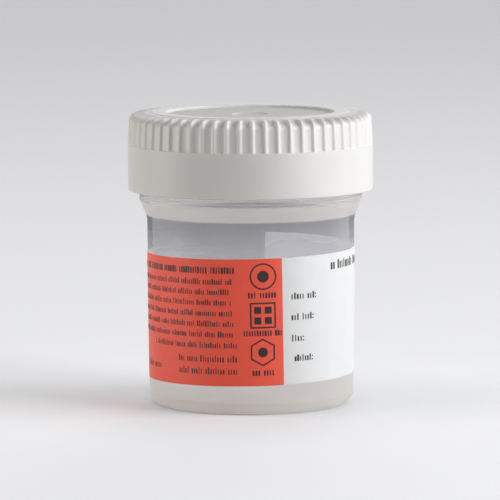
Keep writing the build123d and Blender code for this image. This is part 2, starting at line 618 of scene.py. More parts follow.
@dataclass(frozen=True)
class WhitePolypropylene:
    """White-pigmented polypropylene, injection moulded in a satin mould.

    It is opaque and slightly warm, with a low satin gloss that a fine orange-peel
    skin breaks up, and faint flow clouds where the melt spread from the gate. The
    recess in its top is painted a shade darker.
    """

    name: str = "white_polypropylene_satin"
    colour: str = "f1efeb"
    shade: str = "eeebe7"
    # painted shade: the recess in the top is coloured a little darker
    recess_painted_shade: str = "e7e5e1"
    cloud: Grain = Grain(16.0, 0.0)
    gloss: tuple[float, float] = (0.28, 0.31)
    ior: float = 1.49
    shine: float = 0.5
    peel: Grain = Grain(0.9, 0.0)
    peel_depth: float = 0.003
    scatter: float = 0.4  # share of light that goes in and comes out near by
    scatter_reach: Point = (1.0, 0.95, 0.9)  # mm, for red, green and blue
    top_floor: float = 62.2  # height above which the finish of the top applies
    recess_radius: float = 18.2
    recess_matt: float = 0.45  # the mould leaves the recess matt
    recess_dull: float = 0.38
    ring_radius: float = 21.4
    ring_polish: float = 0.1

    def inside(self, tree: Tree, where: Socket, radius: float) -> Socket:
        """1 on the top within a radius in mm, and 0 elsewhere.

        Args:
            tree: the node tree.
            where: object coordinates.
            radius: the radius.

        Returns:
            The value.
        """
        parts = add_node(tree, "ShaderNodeSeparateXYZ", inputs={"Vector": where}).outputs
        flat = add_node(tree, "ShaderNodeCombineXYZ", inputs={"X": parts["X"], "Y": parts["Y"]})
        reach = add_node(tree, "ShaderNodeVectorMath", {"operation": "LENGTH"}, {
            0: flat.outputs["Vector"],
        }).outputs["Value"]
        near = add_node(tree, "ShaderNodeMath", {"operation": "LESS_THAN"}, {
            0: reach, 1: radius * MM,
        }).outputs["Value"]
        above = add_node(tree, "ShaderNodeMath", {"operation": "GREATER_THAN"}, {
            0: parts["Z"], 1: self.top_floor * MM,
        }).outputs["Value"]
        return add_node(tree, "ShaderNodeMath", {"operation": "MULTIPLY"}, {
            0: near, 1: above,
        }).outputs["Value"]

    def material(self) -> bpy.types.Material:
        """Build the material.

        Returns:
            The material.
        """
        material, tree, where = shader_tree(self.name)
        recess = self.inside(tree, where, self.recess_radius)
        ring = self.inside(tree, where, self.ring_radius)
        polished = add_node(tree, "ShaderNodeMath", {"operation": "MULTIPLY_ADD"}, {
            0: ring, 1: -self.ring_polish, 2: self.cloud.spread(tree, where, *self.gloss),
        }).outputs["Value"]
        clouded = add_node(tree, "ShaderNodeMix", TWO_COLOURS, {
            0: self.cloud.spread(tree, where, 0, 1),
            6: linear(self.colour), 7: linear(self.shade),
        }).outputs[2]
        surface = add_node(tree, "ShaderNodeBsdfPrincipled", inputs={
            # painted shade: the recess takes the darker colour
            "Base Color": add_node(tree, "ShaderNodeMix", TWO_COLOURS, {
                0: recess, 6: clouded, 7: linear(self.recess_painted_shade),
            }).outputs[2],
            "Roughness": add_node(tree, "ShaderNodeMath", {"operation": "MULTIPLY_ADD"}, {
                0: recess, 1: self.recess_matt, 2: polished,
            }).outputs["Value"],
            "Specular IOR Level": add_node(tree, "ShaderNodeMath", {
                "operation": "MULTIPLY_ADD",
            }, {0: recess, 1: -self.recess_dull, 2: self.shine}).outputs["Value"],
            "IOR": self.ior,
            "Subsurface Weight": self.scatter,
            "Subsurface Radius": self.scatter_reach,
            "Subsurface Scale": MM,
            "Normal": self.peel.relief(tree, where, self.peel_depth),
        })
        add_node(tree, "ShaderNodeOutputMaterial", inputs={"Surface": surface.outputs["BSDF"]})
        return material


@dataclass(frozen=True)
class ClosedCellFoam:
    """Pressed closed-cell polyethylene foam, which looks matt and finely pitted."""

    name: str = "polyethylene_foam_closed_cell"
    colour: str = "f4f3f0"
    shade: str = "e2e0dc"
    cell_size: float = 0.5
    cell_depth: float = 0.05
    roughness: float = 0.8

    def material(self) -> bpy.types.Material:
        """Build the material.

        Returns:
            The material.
        """
        material, tree, where = shader_tree(self.name)
        cells = add_node(tree, "ShaderNodeTexVoronoi", inputs={
            "Vector": where, "Scale": per_mm(self.cell_size),
        }).outputs["Distance"]
        surface = add_node(tree, "ShaderNodeBsdfPrincipled", inputs={
            "Base Color": add_node(tree, "ShaderNodeMix", TWO_COLOURS, {
                0: cells, 6: linear(self.colour), 7: linear(self.shade),
            }).outputs[2],
            "Roughness": self.roughness,
            "Normal": add_node(tree, "ShaderNodeBump", inputs={
                "Height": cells, "Distance": self.cell_depth * MM, "Strength": 1.0,
            }).outputs["Normal"],
        })
        add_node(tree, "ShaderNodeOutputMaterial", inputs={"Surface": surface.outputs["BSDF"]})
        return material


@dataclass(frozen=True)
class CoatedPaper:
    """Coated label paper, plain or flooded with one colour of ink.

    The clay coat gives a weak even sheen, fibres under it show as a fine mottle, and
    a printed flood is a little uneven. A daylight-fluorescent ink also gives back some
    of the light that it takes in, as light of its own colour.
    """

    name: str
    colour: str
    mottle: str
    glow: str = "000000"
    glow_strength: float = 0.0
    fibre: Grain = Grain(0.35, 4.0, 0.65)
    fibre_depth: float = 0.003
    fibre_mottle: tuple[float, float] = (0.3, 1.0)
    blotch: Grain = Grain(2.8)
    blotch_mottle: tuple[float, float] = (0.4, 1.0)
    gloss: tuple[float, float] = (0.4, 0.5)
    let_through: float = 0.08  # share of light that passes into the sheet

    def material(self) -> bpy.types.Material:
        """Build the material.

        Returns:
            The material.
        """
        material, tree, where = shader_tree(self.name)
        patches = add_node(tree, "ShaderNodeMath", {"operation": "MULTIPLY"}, {
            0: self.fibre.spread(tree, where, *self.fibre_mottle),
            1: self.blotch.spread(tree, where, *self.blotch_mottle),
        }).outputs["Value"]
        surface = add_node(tree, "ShaderNodeBsdfPrincipled", inputs={
            "Base Color": add_node(tree, "ShaderNodeMix", TWO_COLOURS, {
                0: patches, 6: linear(self.colour), 7: linear(self.mottle),
            }).outputs[2],
            "Roughness": self.fibre.spread(tree, where, *self.gloss),
            "Emission Color": linear(self.glow),
            "Emission Strength": self.glow_strength,
            "Normal": self.fibre.relief(tree, where, self.fibre_depth),
        }).outputs["BSDF"]
        light = add_node(tree, "ShaderNodeBsdfTranslucent", inputs={
            "Color": linear(self.colour),
        }).outputs["BSDF"]
        both = add_node(tree, "ShaderNodeMixShader", inputs={
            "Fac": self.let_through, 1: surface, 2: light,
        })
        add_node(tree, "ShaderNodeOutputMaterial", inputs={"Surface": both.outputs["Shader"]})
        return material


@dataclass(frozen=True)
class PrintedInk:
    """Black flexographic ink, a thin film that is thinner here and there."""

    name: str = "flexographic_black_ink"
    colour: str = "2a2322"
    thin: str = "463a38"
    speck: Grain = Grain(0.25)
    gloss: tuple[float, float] = (0.5, 0.65)
    shine: float = 0.3

    def material(self) -> bpy.types.Material:
        """Build the material.

        Returns:
            The material.
        """
        material, tree, where = shader_tree(self.name)
        speck = self.speck.spread(tree, where, 0, 1)
        low, high = self.speck.usual
        surface = add_node(tree, "ShaderNodeBsdfPrincipled", inputs={
            "Base Color": add_node(tree, "ShaderNodeMix", TWO_COLOURS, {
                0: speck, 6: linear(self.colour), 7: linear(self.thin),
            }).outputs[2],
            "Roughness": add_node(tree, "ShaderNodeMapRange", {
                "interpolation_type": "SMOOTHSTEP",
            }, {
                "Value": speck, "From Min": low, "From Max": high,
                "To Min": self.gloss[0], "To Max": self.gloss[1],
            }).outputs["Result"],
            "Specular IOR Level": self.shine,
        })
        add_node(tree, "ShaderNodeOutputMaterial", inputs={"Surface": surface.outputs["BSDF"]})
        return material


@dataclass(frozen=True)
class PaleBoard:
    """Pale matt painted board, with a faint roller texture, and painted shade where it is seen
    through the jar.
    """

    name: str = "pale_painted_board"
    colour: str = "d2d2d3"
    tone: str = "cececf"
    lift: str = "b0b0b2"
    shelter: float = 45.0  # mm within which a thing shades the board's even light
    # painted shade: the board's colour where the eye sees it through the jar's plastic
    painted_shade_through_plastic: str = "303032"  # how it looks through the milky plastic
    nap: Grain = Grain(3.0)
    roughness: float = 0.9
    shine: float = 0.1

    def material(self) -> bpy.types.Material:
        """Build the material.

        Returns:
            The material.
        """
        material, tree, where = shader_tree(self.name)
        nap = add_node(tree, "ShaderNodeTexNoise", inputs=self.nap.sockets(where))
        board = add_node(tree, "ShaderNodeMix", TWO_COLOURS, {
            0: nap.outputs["Fac"], 6: linear(self.colour), 7: linear(self.tone),
        }).outputs[2]
        surface = add_node(tree, "ShaderNodeBsdfPrincipled", inputs={
            # painted shade: dark where the board is seen through the plastic
            "Base Color": add_node(tree, "ShaderNodeMix", TWO_COLOURS, {
                0: seen_through_plastic(tree), 6: board, 7: linear(self.painted_shade_through_plastic),
            }).outputs[2],
            "Roughness": self.roughness,
            "Specular IOR Level": self.shine,
        }).outputs["BSDF"]
        open_sky = add_node(tree, "ShaderNodeAmbientOcclusion", inputs={
            "Distance": self.shelter * MM,
        }).outputs["AO"]
        glow = add_node(tree, "ShaderNodeEmission", inputs={
            "Color": linear(self.lift),
            "Strength": add_node(tree, "ShaderNodeMath", {"operation": "MULTIPLY"}, {
                0: open_sky, 1: seen_directly(tree),
            }).outputs["Value"],
        }).outputs["Emission"]
        both = add_node(tree, "ShaderNodeAddShader", inputs={0: surface, 1: glow})
        add_node(tree, "ShaderNodeOutputMaterial", inputs={"Surface": both.outputs["Shader"]})
        return material


def seen_through_plastic(tree: Tree) -> Socket:
    """Tell apart what the eye sees through the milky plastic, where the board has painted
    shade.

    Args:
        tree: the node tree.

    Returns:
        1 for that, and 0 for all else.
    """
    path = add_node(tree, "ShaderNodeLightPath").outputs
    behind = add_node(tree, "ShaderNodeMath", {"operation": "GREATER_THAN"}, {
        0: path["Transparent Depth"], 1: 0.5,
    }).outputs["Value"]
    return add_node(tree, "ShaderNodeMath", {"operation": "MULTIPLY"}, {
        0: behind, 1: path["Is Camera Ray"],
    }).outputs["Value"]


def seen_directly(tree: Tree) -> Socket:
    """Tell apart what the eye sees, also in gloss, but not through the milky plastic.

    Args:
        tree: the node tree.

    Returns:
        1 for that, and 0 for light.
    """
    path = add_node(tree, "ShaderNodeLightPath").outputs
    seen = path["Is Camera Ray"]
    for kind in ("Is Glossy Ray", "Is Transmission Ray"):
        seen = add_node(tree, "ShaderNodeMath", {"operation": "MAXIMUM"}, {
            0: seen, 1: path[kind],
        }).outputs["Value"]
    open_air = add_node(tree, "ShaderNodeMath", {"operation": "LESS_THAN"}, {
        0: path["Transparent Depth"], 1: 0.5,
    }).outputs["Value"]
    return add_node(tree, "ShaderNodeMath", {"operation": "MULTIPLY"}, {
        0: seen, 1: open_air,
    }).outputs["Value"]


# ---------------------------------------------------------------- jar


@dataclass
class JarMoulding:
    """The translucent jar: foot, wall, shoulder, collar, threaded neck and inside."""

    # per-point scatter share: thickness, plus painted highlight, shade and shadow bands at the
    # collar
    SCATTER_AND_PAINTED_LIGHT = "milk_and_painted_light"

    height: float = 60.3
    base_radius: float = 22.1
    draft: float = 0.33
    wall: float = 1.1
    floor_z: float = 2.5
    base_corner: float = 2.6
    floor_corner: float = 1.8
    foot_inner: float = 17.9
    foot_height: float = 0.9
    gate_radius: float = 3.0
    gate_depth: float = 0.4
    shoulder_z: float = 40.5
    shoulder_blend: float = 5.0
    collar_radius: float = 24.05
    collar_z: float = 44.5
    collar_blend: float = 1.0
    collar_top: float = 47.5
    bead_z: float = 45.3
    bead_relief: float = 0.1
    neck_radius: float = 23.2
    rim_width: float = 1.3
    rim_round: float = 0.35
    mouth_blend: float = 2.0
    soft_edge: float = 0.12
    thread_z: float = 49.9
    thread_row: float = 0.15
    columns: int = 240
    # Height and the share of light that the plastic scatters there, by its thickness;
    # at the collar the dip at 44.5-44.8 is a painted shade line, the rise at 45.0-45.3
    # a painted highlight on the bead, and the low share from 45.5 a painted shadow under
    # the cap's skirt.
    scatter: tuple[tuple[float, float], ...] = (
        (0, 0.9), (2.9, 0.88), (3.2, 0.14), (5.0, 0.13), (41.0, 0.13), (41.3, 0.66),
        (44.3, 0.7), (44.5, 0.3), (44.8, 0.3), (45.0, 0.55), (45.3, 0.5), (45.5, 0.2),
        (49.0, 0.4), (60.3, 0.5),
    )
    thread: Thread = field(default_factory=Thread)

    def wall_radius(self, z: float | np.ndarray) -> float | np.ndarray:
        """Outside radius of the drafted wall at a height."""
        return self.base_radius + self.draft * z / self.shoulder_z

    def profile(self) -> np.ndarray:
        """Outline from the middle of the underside, up the outside, and back inside.

        Returns:
            Rows of (radius, height).
        """
        edge, relief = self.soft_edge, self.bead_relief
        body = self.wall_radius(self.shoulder_z)
        bead = self.collar_radius + relief
        mouth = self.neck_radius - self.rim_width
        return rounded([
            (0, self.foot_height + self.gate_depth, 0),
            (self.gate_radius, self.foot_height + self.gate_depth, edge),
            (self.gate_radius + self.gate_depth, self.foot_height, edge),
            (self.foot_inner - self.foot_height / 2, self.foot_height, edge),
            (self.foot_inner, 0, edge),
            (self.base_radius, 0, self.base_corner),
            (body, self.shoulder_z, self.shoulder_blend),
            (self.collar_radius, self.collar_z, self.collar_blend),
            (self.collar_radius, self.bead_z, relief / 3),
            (bead, self.bead_z, relief / 3),
            (bead, self.collar_top, relief),
            (self.neck_radius, self.collar_top, edge),
            (self.neck_radius, self.height, self.rim_round),
            (mouth, self.height, self.rim_round),
            (mouth, self.collar_z, self.mouth_blend),
            (body - self.wall, self.shoulder_z, self.shoulder_blend),
            (self.wall_radius(self.floor_z) - self.wall, self.floor_z, self.floor_corner),
            (0, self.floor_z, 0),
        ])

    def milk_and_painted_light(self, rows: np.ndarray) -> np.ndarray:
        """Share of light that the plastic scatters, from its thickness and painted light, row
        by row.

        Args:
            rows: (radius, height) rows.

        Returns:
            One value for each row.
        """
        heights, shares = zip(*self.scatter)
        return np.interp(rows[:, 1], heights, shares)

    def build(self) -> None:
        """Build the jar and its finish."""
        low, high = self.thread.band(self.thread_z, self.thread_row)
        rows = between(self.profile(), low, high, self.thread_row)
        radius, height, angles = spun(rows, self.columns)
        stand = self.thread.rise(angles[None, :], height, self.thread_z, 0.0)
        outside = np.abs(rows[:, 0] - self.neck_radius) < TOUCH
        radius[outside] += stand[outside]
        points, faces = turned_surface(radius, height, angles)
        draft = Draft()
        draft.add(points, faces)
        jar = draft.build("jar_moulding")
        smooth(jar)
        share = jar.data.attributes.new(self.SCATTER_AND_PAINTED_LIGHT, "FLOAT", "POINT")
        share.data.foreach_set("value", self.milk_and_painted_light(np.array(points)[:, 1:]))
        assign(jar, MilkyPolypropylene())
        fit(jar, Body.CONTAINER, Slot.JAR, "jar")


# ---------------------------------------------------------------- cap and wad


@dataclass
class CapMoulding:
    """The screw cap, made of sectors of one rib each, with a thread in its bore."""

    radius: float = 26.5
    bore: float = 24.8
    skirt_z: float = 46.43
    seat_z: float = 61.3
    top_z: float = 63.3
    recess_z: float = 62.7
    recess_radius: float = 18.3
    recess_draft: float = 0.3
    dimple_radius: float = 4.0
    dimple_depth: float = 0.3
    crown_radius: float = 21.3
    crown_z: float = 63.18
    crown_rise: float = 0.04  # from the ribs' inner ends to the crown's edge
    crown_corner: float = 0.03
    crown_lean: float = 0.02
    edge_z: float = 63.05
    edge_round: float = 1.6
    band_z: float = 56.3
    band_edge: float = 0.3
    band_taper: float = 0.35
    rib_depth: float = 0.38
    rib_count: int = 60
    rib_turn: float = 0.9  # degrees
    bevel_z: float = 61.9
    bevel_radius: float = 22.9
    panel_round: float = 1.3
    panel_rows: int = 34
    panel_step: float = 0.4  # least height of a row
    skirt_chamfer: float = 0.25
    mouth_chamfer: float = 0.5
    keeper_reach: float = 0.8
    keeper_z: float = 59.5
    keeper_height: float = 1.0
    soft_edge: float = 0.12
    thread_z: float = 49.55
    thread_start: float = -0.3
    thread_row: float = 0.16
    seam: float = 0.001  # within which the vertices of two sectors are joined
    # Distance from the rib's middle and height of the rib there, as a share of its depth.
    rib_form: tuple[tuple[float, float], ...] = (
        (0.1, 1.0), (0.24, 0.84), (0.4, 0.5), (0.58, 0.16), (0.8, 0.0),
    )
    thread: Thread = field(default_factory=Thread)

    @property
    def rib_top(self) -> float:
        """Height of the ribs' inner ends."""
        return self.crown_z - self.crown_rise

    def crest_line(self) -> np.ndarray:
        """Rib crests from the band's bottom up and over the edge to the crown.

        Returns:
            Rows of (radius, height).
        """
        top = self.radius - self.band_taper
        return rounded([
            (self.radius, self.band_z, 0),
            (top, self.edge_z, self.edge_round),
            (self.bevel_radius, self.rib_top, 0),
        ])

    def outside(self) -> tuple[np.ndarray, np.ndarray]:
        """Panel rows and rib crest rows of the ribbed band, matched one to one.

        Returns:
            Two arrays of (radius, height) rows.
        """
        lean = self.band_taper * (self.bevel_z - self.band_z) / (self.edge_z - self.band_z)
        foot = self.radius - self.rib_depth
        panel = rounded([
            (self.radius, self.band_z - self.band_edge, 0),
            (self.radius, self.band_z, self.soft_edge),
            (foot, self.band_z, self.soft_edge),
            (foot - lean, self.bevel_z, self.panel_round),
            (self.bevel_radius, self.rib_top, 0),
        ])
        panel = resampled(panel, self.panel_rows, self.panel_step)
        crest = self.crest_line()
        upper = panel[:, 1] > self.bevel_z
        rows = np.zeros_like(panel)
        rows[~upper, 1] = panel[~upper, 1]
        rows[~upper, 0] = np.interp(rows[~upper, 1], crest[:, 1], crest[:, 0])
        split = np.interp(self.bevel_z, crest[:, 1], lengths(crest))
        share = np.linspace(0, 1, int(upper.sum()) + 1)[1:]
        where = split + (lengths(crest)[-1] - split) * share
        for axis in (0, 1):
            rows[upper, axis] = np.interp(where, lengths(crest), crest[:, axis])
        return panel, rows

    def lower(self) -> np.ndarray:
        """Rows from the middle of the inside, down the bore and up the skirt.

        Returns:
            Rows of (radius, height).
        """
        keeper = self.keeper_height / 2
        edge = self.soft_edge
        rows = rounded([
            (0, self.seat_z, 0),
            (self.bore, self.seat_z, edge),
            (self.bore, self.keeper_z + keeper, edge),
            (self.bore - self.keeper_reach, self.keeper_z, edge),
            (self.bore, self.keeper_z - keeper, edge),
            (self.bore, self.skirt_z + self.mouth_chamfer, edge),
            (self.bore + self.mouth_chamfer, self.skirt_z, edge),
            (self.radius - self.skirt_chamfer, self.skirt_z, edge),
            (self.radius, self.skirt_z + self.skirt_chamfer, edge),
            (self.radius, self.band_z - self.band_edge, 0),
        ])
        low, high = self.thread.band(self.thread_z, self.thread_row)
        inner = rows[:, 0] < self.bore + TOUCH
        last = int(np.argmin(inner)) + 1
        return np.vstack([between(rows[:last], low, high, self.thread_row), rows[last:]])

    def upper(self) -> np.ndarray:
        """Rows from the ribs' inner ends over the crown and recess to the middle.

        Returns:
            Rows of (radius, height).
        """
        edge = self.soft_edge
        return rounded([
            (self.bevel_radius, self.rib_top, 0),
            (self.crown_radius, self.crown_z, self.crown_corner),
            (self.crown_radius - self.crown_lean, self.top_z, edge),
            (self.recess_radius, self.top_z, edge),
            (self.recess_radius - self.recess_draft, self.recess_z, edge),
            (self.dimple_radius, self.recess_z, edge),
            (self.dimple_radius - self.dimple_depth, self.recess_z - self.dimple_depth, edge),
            (0, self.recess_z - self.dimple_depth, 0),
        ])

    def sector(self) -> bpy.types.Object:
        """Build one rib's sector of the cap, from the axis to the axis.

        Returns:
            The sector's object.
        """
        panel, crest = self.outside()
        before, after = self.lower(), self.upper()
        low = np.vstack([before[:-1], panel, after[1:]])
        high = np.vstack([before[:-1], crest, after[1:]])
        half = math.pi / self.rib_count
        form = [(-d, h) for d, h in reversed(self.rib_form)] + list(self.rib_form)
        angles = np.array([-half] + [d / self.radius for d, _ in form] + [half])
        share = np.array([0.0] + [h for _, h in form] + [0.0])
        radius = low[:, :1] + (high[:, :1] - low[:, :1]) * share[None, :]
        height = low[:, 1:] + (high[:, 1:] - low[:, 1:]) * share[None, :]
        xs, ys = radius * np.cos(angles), radius * np.sin(angles)
        rows, columns = radius.shape
        points = np.stack([xs, ys, height], axis=-1).reshape(-1, 3)
        faces = []
        for i in range(rows - 1):
            for j in range(columns - 1):
                k = i * columns + j
                ring = (k, k + 1, k + columns + 1, k + columns)
                if i == 0:
                    ring = (k, k + columns + 1, k + columns)
                elif i == rows - 2:
                    ring = (k, k + 1, k + columns)
                faces.append(ring)
        draft = Draft()
        draft.add(points, faces)
        return draft.build("cap_sector")

    def ring_tree(self) -> Tree:
        """Geometry Nodes tree that repeats a sector round the axis and joins the seams.

        Returns:
            The tree.
        """
        tree, start, end = geometry_tree("cap_sectors_round_axis", {
            "Sectors": "NodeSocketInt",
            "First angle": "NodeSocketFloat",
            "Seam width": "NodeSocketFloat",
            "Finish": "NodeSocketMaterial",
        })
        spots = add_node(tree, "GeometryNodePoints", inputs={"Count": start.outputs["Sectors"]})
        index = add_node(tree, "GeometryNodeInputIndex")
        step = add_node(tree, "ShaderNodeMath", {"operation": "DIVIDE"}, {
            0: 2 * math.pi, 1: start.outputs["Sectors"],
        })
        angle = add_node(tree, "ShaderNodeMath", {"operation": "MULTIPLY_ADD"}, {
            0: index.outputs["Index"], 1: step.outputs["Value"],
            2: start.outputs["First angle"],
        })
        turn = add_node(tree, "FunctionNodeAxisAngleToRotation", inputs={
            "Axis": (0, 0, 1), "Angle": angle.outputs["Value"],
        })
        copies = add_node(tree, "GeometryNodeInstanceOnPoints", inputs={
            "Points": spots.outputs[0], "Instance": start.outputs["Geometry"],
            "Rotation": turn.outputs["Rotation"],
        })
        real = add_node(tree, "GeometryNodeRealizeInstances", inputs={
            "Geometry": copies.outputs["Instances"],
        })
        joined = add_node(tree, "GeometryNodeMergeByDistance", inputs={
            "Geometry": real.outputs["Geometry"], "Distance": start.outputs["Seam width"],
        })
        close_tree(tree, end, joined.outputs["Geometry"], start.outputs["Finish"])
        return tree

    def cut_thread(self, mesh: bpy.types.Mesh) -> None:
        """Raise the thread's ridges on the wall of the bore.

        Args:
            mesh: the cap's mesh, in metres.
        """
        points = np.zeros(len(mesh.vertices) * 3)
        mesh.vertices.foreach_get("co", points)
        points = points.reshape(-1, 3) / MM
        radius = np.hypot(points[:, 0], points[:, 1])
        angle = np.arctan2(points[:, 1], points[:, 0])
        on_bore = np.abs(radius - self.bore) < TOUCH
        stand = self.thread.rise(angle, points[:, 2], self.thread_z, self.thread_start)
        points[on_bore, :2] *= 1 - (stand[on_bore] / radius[on_bore])[:, None]
        mesh.vertices.foreach_set("co", (points * MM).ravel())

    def build(self) -> None:
        """Build the cap and its finish."""
        finish = WhitePolypropylene().material()
        mesh = run_tree(self.sector(), self.ring_tree(), {
            "Sectors": self.rib_count,
            "First angle": FRONT + math.radians(self.rib_turn),
            "Seam width": self.seam * MM,
            "Finish": finish,
        })
        self.cut_thread(mesh)
        cap = place(mesh, "cap_moulding")
        smooth(cap)
        fit(cap, Body.CAP, Slot.CAP, "screw_cap")


@dataclass
class SealingWad:
    """The foam disc that the cap presses on the jar's rim."""

    radius: float = 24.4
    low: float = 60.3
    high: float = 61.3
    edge: float = 0.2
    gap: float = 0.01
    columns: int = 160

    def build(self) -> None:
        """Build the wad and its finish."""
        low, high = self.low + self.gap, self.high - self.gap
        rows = rounded([
            (0, low, 0), (self.radius, low, self.edge), (self.radius, high, self.edge),
            (0, high, 0),
        ])
        draft = Draft()
        draft.add(*turned_surface(*spun(rows, self.columns)))
        wad = draft.build("foam_wad")
        smooth(wad)
        assign(wad, ClosedCellFoam())
        fit(wad, Body.WAD, Slot.WAD, "sealing_wad")


# ---------------------------------------------------------------- label


class Weight(Enum):
    """How heavy a printed row is: mark width, mark pitch, low and full height in mm."""

    BODY = (0.22, 0.50, 0.9, 1.24)
    BOLD = (0.30, 0.56, 1.14, 1.22)
    LARGE = (0.23, 0.55, 1.02, 1.46)
    HEADING = (0.32, 0.60, 1.3, 1.42)
    FIELD = (0.30, 0.58, 1.05, 1.4)
    TITLE = (0.40, 0.78, 1.5, 1.95)


class Coat(IntEnum):
    """The material slots of the label's sheet."""

    RED = 0
    WHITE = 1
    BACK = 2


@dataclass
class Label:
    """The wrap-round label: a red field, a white field and plain printed marks.

    Places on it are (a, h): a runs along its bottom edge from the front of the jar,
    positive to the right, and h runs up from that edge.
    """

    bottom: float = 6.41
    height: float = 27.19
    glue: float = 0.02
    thickness: float = 0.1
    ink: float = 0.012
    tilt: float = math.atan(0.36 / 22.35)
    wrap_radius: float = 22.35
    start: float = -41.74
    end: float = 67.48
    field_edge: float = 7.05
    column_step: float = 0.7
    row_count: int = 8
    word_length: int = 9  # ticks
    gap_spread: int = 5  # the gap in a word is one of its first ticks, up to this one
    short_ticks: float = 0.68  # share of them
    tick_breadths: tuple[float, float] = (0.75, 1.55)  # as shares of the mark width
    breadth_ids: tuple[float, float] = (7.0, 3.0)  # step and first of their own numbers
    seed: int = 11
    jar: JarMoulding = field(default_factory=JarMoulding)

    def wrapped(self, flat: np.ndarray) -> np.ndarray:
        """Bend points (a, lift, h) of the flat label round the jar's wall.

        Args:
            flat: rows of a, lift off the jar's wall, and h.

        Returns:
            Rows of x, y and z.
        """
        along, lift, up = flat[:, 0], flat[:, 1], flat[:, 2]
        arc = along * math.cos(self.tilt) - up * math.sin(self.tilt)
        z = self.bottom + along * math.sin(self.tilt) + up * math.cos(self.tilt)
        angle = FRONT + arc / self.wrap_radius
        radius = self.jar.wall_radius(z) + lift
        return np.stack([radius * np.cos(angle), radius * np.sin(angle), z], axis=1)

    def sheet(self) -> bpy.types.Object:
        """Build the closed sheet: red field, white field, and plain back and edges.

        Returns:
            The sheet's object.
        """
        left = int(round((self.field_edge - self.start) / self.column_step))
        right = int(round((self.end - self.field_edge) / self.column_step))
        along = np.concatenate([
            np.linspace(self.start, self.field_edge, left + 1),
            np.linspace(self.field_edge, self.end, right + 1)[1:],
        ])
        up = np.linspace(0, self.height, self.row_count + 1)
        grid = np.array([(a, h) for h in up for a in along])
        columns, rows = len(along), len(up)
        layers = []
        for lift in (self.glue + self.thickness, self.glue):
            layers.append(np.column_stack([grid[:, 0], np.full(len(grid), lift), grid[:, 1]]))
        points = self.wrapped(np.vstack(layers))
        back = columns * rows
        faces, slots = [], []
        for i in range(rows - 1):
            for j in range(columns - 1):
                k = i * columns + j
                faces.append((k, k + 1, k + columns + 1, k + columns))
                slots.append(Coat.RED if j < left else Coat.WHITE)
                faces.append(tuple(v + back for v in (k, k + columns, k + columns + 1, k + 1)))
                slots.append(Coat.BACK)
        rim = list(range(columns)) + [i * columns + columns - 1 for i in range(1, rows)]
        rim += [(rows - 1) * columns + j for j in range(columns - 2, -1, -1)]
        rim += [i * columns for i in range(rows - 2, 0, -1)]
        for one, other in zip(rim, rim[1:] + rim[:1]):
            faces.append((one, one + back, other + back, other))
            slots.append(Coat.BACK)
        draft = Draft()
        draft.add(points, faces)
        draft.slots = slots
        sheet = draft.build("label_sheet")
        smooth(sheet)
        assign(sheet, *LABEL_FINISHES)
        return sheet

    def rows_tree(self) -> Tree:
        """Geometry Nodes tree that sets upright ticks along printed rows, in words.

        Returns:
            The tree.
        """
        tree, start, end = geometry_tree("printed_rows_of_ticks", {
            "Tick pitch": "NodeSocketFloat",
            "Tick size": "NodeSocketVector",
            "Short share": "NodeSocketFloat",
            "Word length": "NodeSocketInt",
            "Gap spread": "NodeSocketInt",
            "Seed": "NodeSocketInt",
            "Finish": "NodeSocketMaterial",
        })
        inputs = start.outputs
        line = add_node(tree, "GeometryNodeMeshToCurve", inputs={"Mesh": inputs["Geometry"]})
        spots = add_node(tree, "GeometryNodeCurveToPoints", {"mode": "LENGTH"}, {
            "Curve": line.outputs["Curve"], "Length": inputs["Tick pitch"],
        })
        index = add_node(tree, "GeometryNodeInputIndex").outputs["Index"]
        share = add_node(tree, "ShaderNodeMath", {"operation": "DIVIDE"}, {
            0: index, 1: inputs["Word length"],
        }).outputs["Value"]
        word = add_node(tree, "ShaderNodeMath", {"operation": "FLOOR"}, {0: share}).outputs[0]
        place_in = add_node(tree, "ShaderNodeMath", {"operation": "MODULO"}, {
            0: index, 1: inputs["Word length"],
        }).outputs["Value"]
        spot = add_node(tree, "FunctionNodeRandomValue", {"data_type": "INT"}, {
            4: 0, 5: inputs["Gap spread"], "ID": word, "Seed": inputs["Seed"],
        }).outputs[2]
        gap = add_node(tree, "FunctionNodeCompare", {
            "data_type": "INT", "operation": "NOT_EQUAL",
        }, {2: place_in, 3: spot})
        tall = add_node(tree, "FunctionNodeRandomValue", {"data_type": "FLOAT"}, {
            2: 0.0, 3: 1.0, "Seed": inputs["Seed"],
        })
        is_tall = add_node(tree, "ShaderNodeMath", {"operation": "GREATER_THAN"}, {
            0: tall.outputs[1], 1: self.short_ticks,
        })
        size = add_node(tree, "ShaderNodeMapRange", inputs={
            "Value": is_tall.outputs["Value"], "To Min": inputs["Short share"], "To Max": 1.0,
        })
        own_id = add_node(tree, "ShaderNodeMath", {"operation": "MULTIPLY_ADD"}, {
            0: index, 1: self.breadth_ids[0], 2: self.breadth_ids[1],
        }).outputs["Value"]
        breadth = add_node(tree, "FunctionNodeRandomValue", {"data_type": "FLOAT"}, {
            2: self.tick_breadths[0], 3: self.tick_breadths[1],
            "ID": own_id, "Seed": inputs["Seed"],
        })
        scale = add_node(tree, "ShaderNodeCombineXYZ", inputs={
            "X": breadth.outputs[1], "Y": 1.0, "Z": size.outputs["Result"],
        })
        tick = add_node(tree, "GeometryNodeMeshCube", inputs={"Size": inputs["Tick size"]})
        half = add_node(tree, "ShaderNodeVectorMath", {"operation": "MULTIPLY"}, {
            0: inputs["Tick size"], 1: (0, 0, 0.5),
        })
        stood = add_node(tree, "GeometryNodeTransform", inputs={
            "Geometry": tick.outputs["Mesh"], "Translation": half.outputs["Vector"],
        })
        copies = add_node(tree, "GeometryNodeInstanceOnPoints", inputs={
            "Points": spots.outputs["Points"], "Selection": gap.outputs[0],
            "Instance": stood.outputs["Geometry"], "Scale": scale.outputs["Vector"],
        })
        real = add_node(tree, "GeometryNodeRealizeInstances", inputs={
            "Geometry": copies.outputs["Instances"],
        })
        close_tree(tree, end, real.outputs["Geometry"], inputs["Finish"])
        return tree

